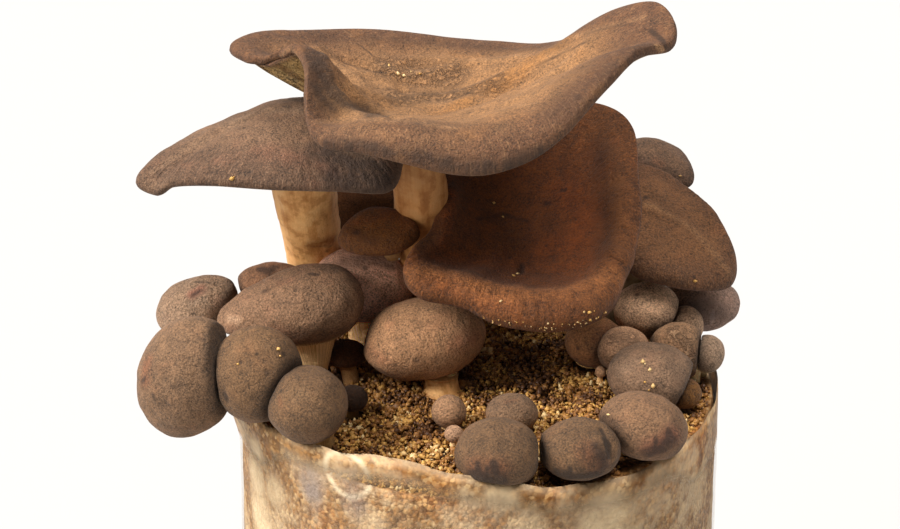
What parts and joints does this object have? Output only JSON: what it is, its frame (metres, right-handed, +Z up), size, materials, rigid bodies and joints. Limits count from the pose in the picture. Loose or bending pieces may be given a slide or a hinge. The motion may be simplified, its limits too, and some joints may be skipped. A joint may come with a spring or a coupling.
{
  "type": "oyster mushroom grow bag",
  "caption": "Round film bag of grain substrate with a fruiting cluster of brown oyster mushrooms: wavy caps with gills, bent stems and round young buttons.",
  "frame": {"origin": "centre of the flat base of the bag, where it rests", "axes": "+Z up, out of the bag's mouth; -Y towards the front of the cluster; +X to the viewer's right"},
  "size_m": [0.1385, 0.1116, 0.2397],
  "materials": {
    "film": "thin clear film, gloss, with mycelium showing through",
    "grain": "rough damp grain substrate",
    "cap skin": "matt, velvety, finely speckled",
    "red-brown cap": "velvety, a little damp",
    "button skin": "matt, velvety, mottled",
    "purple button": "matt, velvety, mottled",
    "stem flesh": "matt, fibrous, pale"
  },
  "bodies": {
    "root": {"bag": "film", "button_dark_ball": "button skin", "button_front_left": "button skin", "button_front_middle": "button skin", "button_front_pin": "purple button", "button_front_right": "button skin", "button_front_small": "button skin", "button_front_speck": "button skin", "button_left_long": "button skin", "button_left_low": "button skin", "button_left_outer": "button skin", "button_left_rear": "button skin", "button_left_round": "button skin", "button_left_upper": "button skin", "button_purple": "purple button", "button_right_dark": "button skin", "button_right_edge": "button skin", "button_right_grey": "purple button", "button_right_inner": "button skin", "button_right_lobe": "button skin", "button_right_low": "button skin", "button_right_outer": "button skin", "button_right_pin": "button skin", "button_right_small": "button skin", "button_right_top": "button skin", "button_under_long": "button skin", "cap_front": "cap skin", "cap_left": "cap skin", "cap_middle": "red-brown cap", "cap_oval": "red-brown cap", "cap_rear": "cap skin", "cap_right": "cap skin", "cap_shaded": "cap skin", "cap_top": "cap skin", "stem_front": "stem flesh", "stem_left": "stem flesh", "stem_middle": "stem flesh", "stem_oval": "stem flesh", "stem_rear": "stem flesh", "stem_right": "stem flesh", "stem_shaded": "stem flesh", "stem_top": "stem flesh", "substrate": "grain"}
  },
  "joints": []
}
